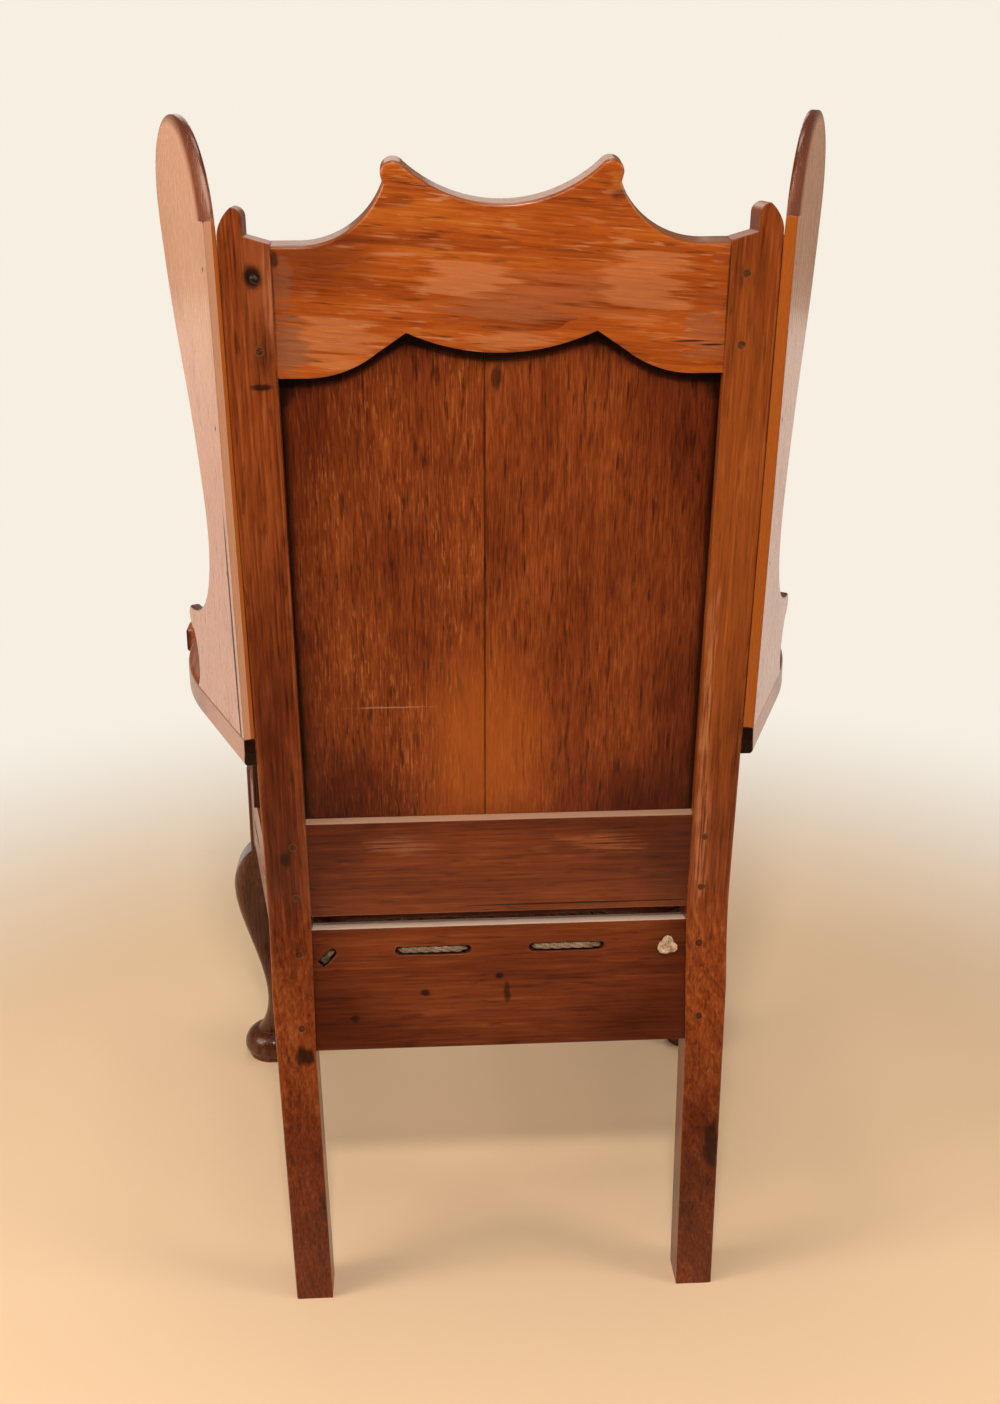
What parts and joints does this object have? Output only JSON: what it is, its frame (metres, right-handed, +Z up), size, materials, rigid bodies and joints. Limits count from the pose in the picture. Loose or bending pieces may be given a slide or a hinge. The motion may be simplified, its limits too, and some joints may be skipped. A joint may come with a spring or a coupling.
{
  "type": "wing armchair",
  "caption": "Country wing armchair with raked posts, shaped crest, plank back, splayed wings, flat arms, cabriole front legs and a corded seat carrying a loose squab.",
  "frame": {"origin": "on the floor under the middle of the chair's box", "axes": "+Z up, -Y the way a sitter faces, +X the sitter's left"},
  "size_m": [0.714, 0.6637, 1.2272],
  "materials": {
    "fruitwood": "old wax polish, worn at the edges",
    "oak": "old wax polish over quartered grain",
    "pegwood": "end grain darkened with wax",
    "iron": "black forged iron",
    "cord": "twisted hemp",
    "squab": "dull woven wool"
  },
  "bodies": {
    "frame": {"left_back_post": "fruitwood", "right_back_post": "fruitwood", "crest_rail": "fruitwood", "lower_back_rail": "fruitwood", "rear_seat_rail": "fruitwood", "front_seat_rail": "fruitwood", "left_side_seat_rail": "fruitwood", "right_side_seat_rail": "fruitwood", "left_front_leg": "fruitwood", "right_front_leg": "fruitwood", "left_side_knee_bracket": "fruitwood", "right_side_knee_bracket": "fruitwood", "left_front_knee_bracket": "fruitwood", "right_front_knee_bracket": "fruitwood", "left_arm": "fruitwood", "right_arm": "fruitwood", "left_arm_support": "fruitwood", "right_arm_support": "fruitwood", "left_wing": "fruitwood", "right_wing": "fruitwood", "left_wing_wedge": "fruitwood", "right_wing_wedge": "fruitwood", "left_back_plank": "oak", "right_back_plank": "oak", "crest_pegs": "pegwood", "lower_back_rail_pegs": "pegwood", "rear_seat_rail_pegs": "pegwood", "crest_iron_pin": "iron", "left_wing_nails": "iron", "right_wing_nails": "iron", "lengthwise_seat_cord": "cord", "crosswise_seat_cord": "cord", "cord_knots": "cord"},
    "squab": {"seat_squab": "squab"}
  },
  "joints": [
    {"name": "squab_lift", "type": "slide", "parent": "frame", "child": "squab", "axis": [0, 0, 1], "range_m": [0, 0.3]}
  ]
}
